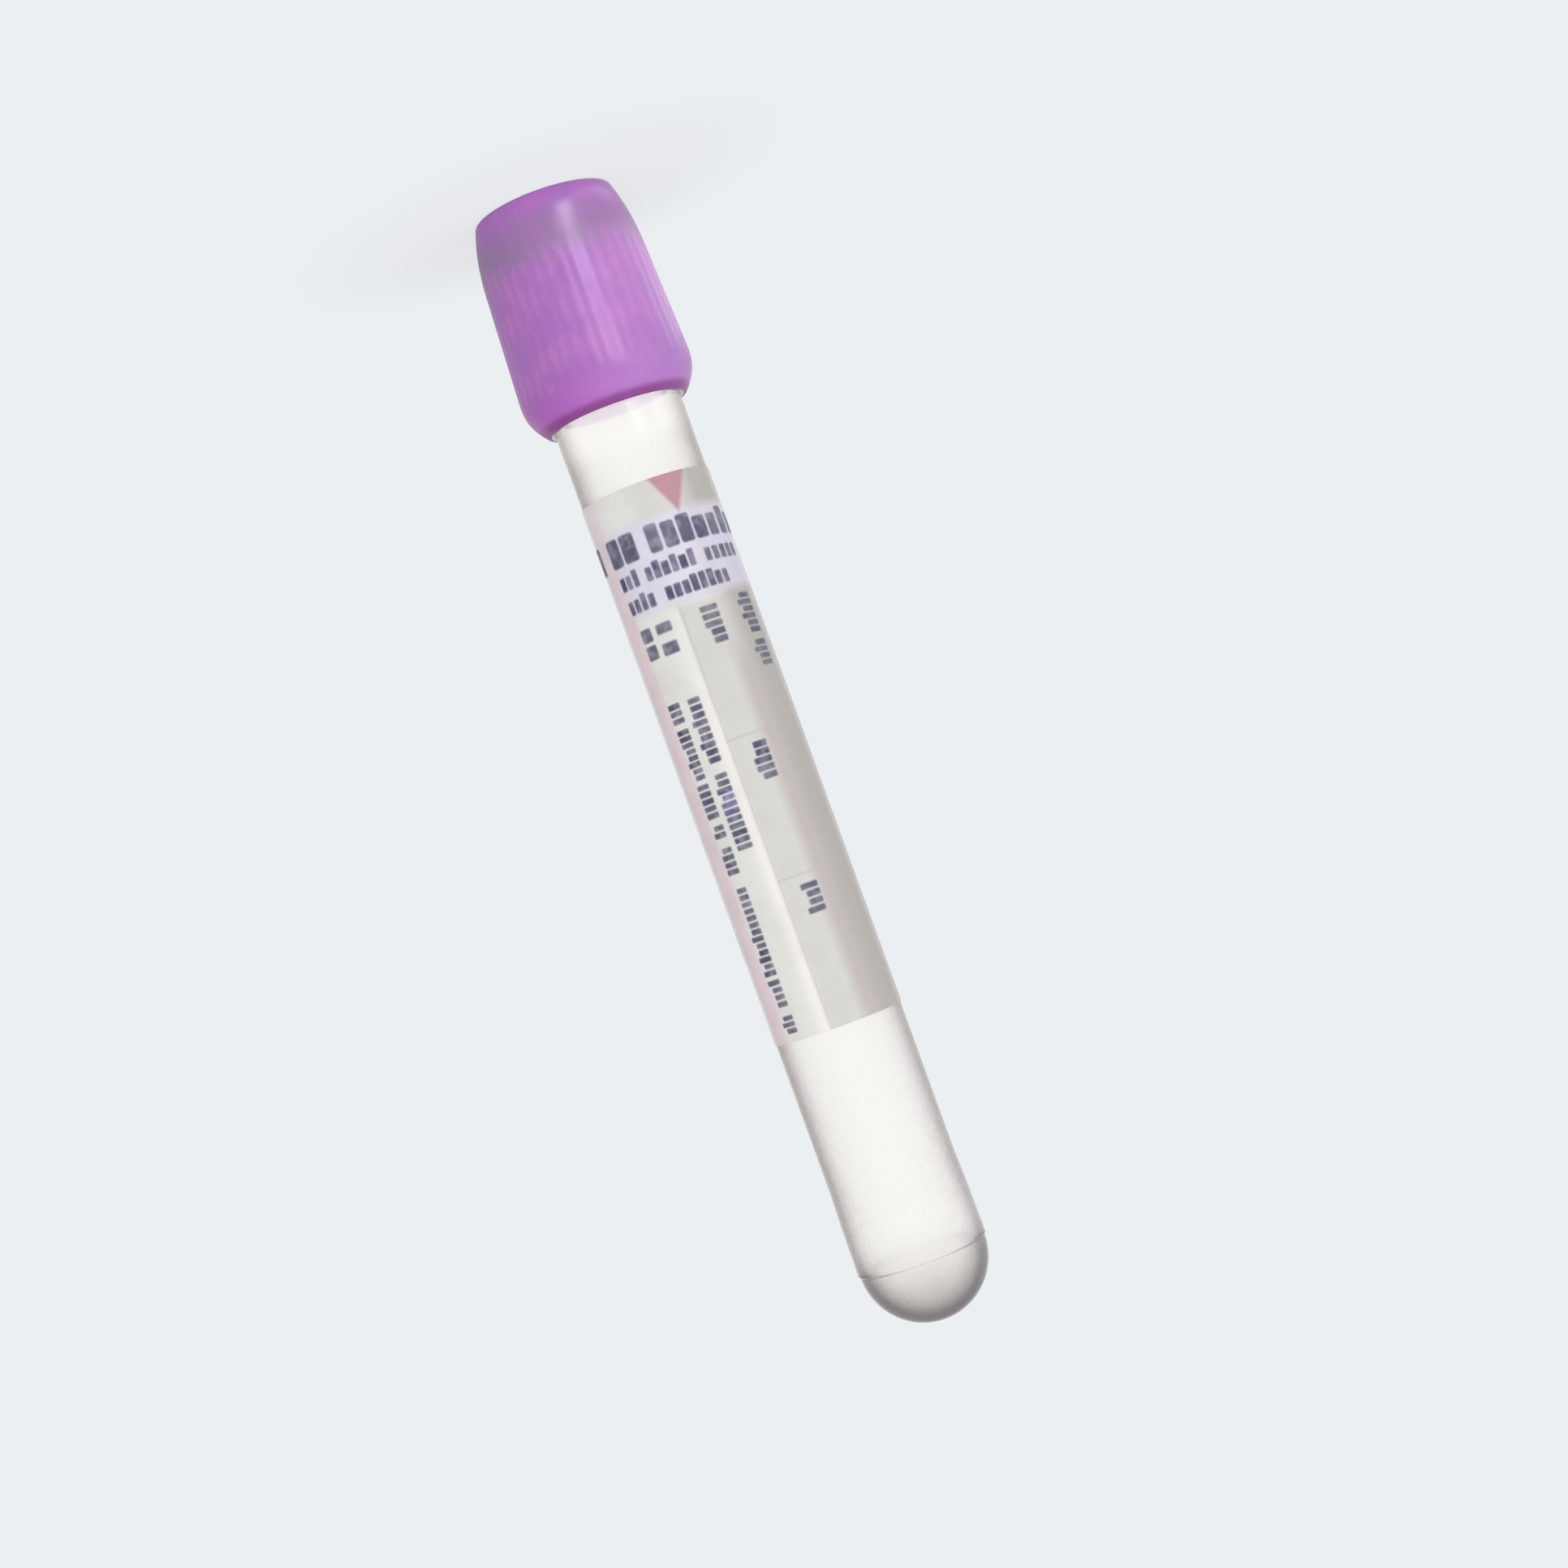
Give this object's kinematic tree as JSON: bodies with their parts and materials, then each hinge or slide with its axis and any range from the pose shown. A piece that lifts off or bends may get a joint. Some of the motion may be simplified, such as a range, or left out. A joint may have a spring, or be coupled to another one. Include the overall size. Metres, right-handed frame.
{
  "type": "blood collection tube",
  "caption": "Clear round-ended sample tube with a fluted push-on closure, a pierceable rubber stopper and a wrap-round label, for drawing and holding blood.",
  "frame": {"origin": "centre of the closure's flat rim, the face that the tube stands on", "axes": "+Z runs along the tube's axis from the closure to the domed end; -Y points at the middle of the printed label and +Y at the label's viewing strip"},
  "size_m": [0.0166, 0.0166, 0.1095],
  "materials": {
    "clear_plastic": "clear moulded plastic, glossy",
    "stopper_rubber": "matt moulded rubber",
    "lavender_plastic": "satin moulded plastic",
    "label_film": "translucent printed film"
  },
  "bodies": {
    "closure": {"shield": "lavender_plastic", "stopper": "stopper_rubber"},
    "vial": {"tube": "clear_plastic", "label": "label_film"}
  },
  "joints": [
    {"name": "closure_pull_off", "type": "slide", "parent": "closure", "child": "vial", "axis": [0, 0, 1], "range_m": [0, 0.03]}
  ]
}
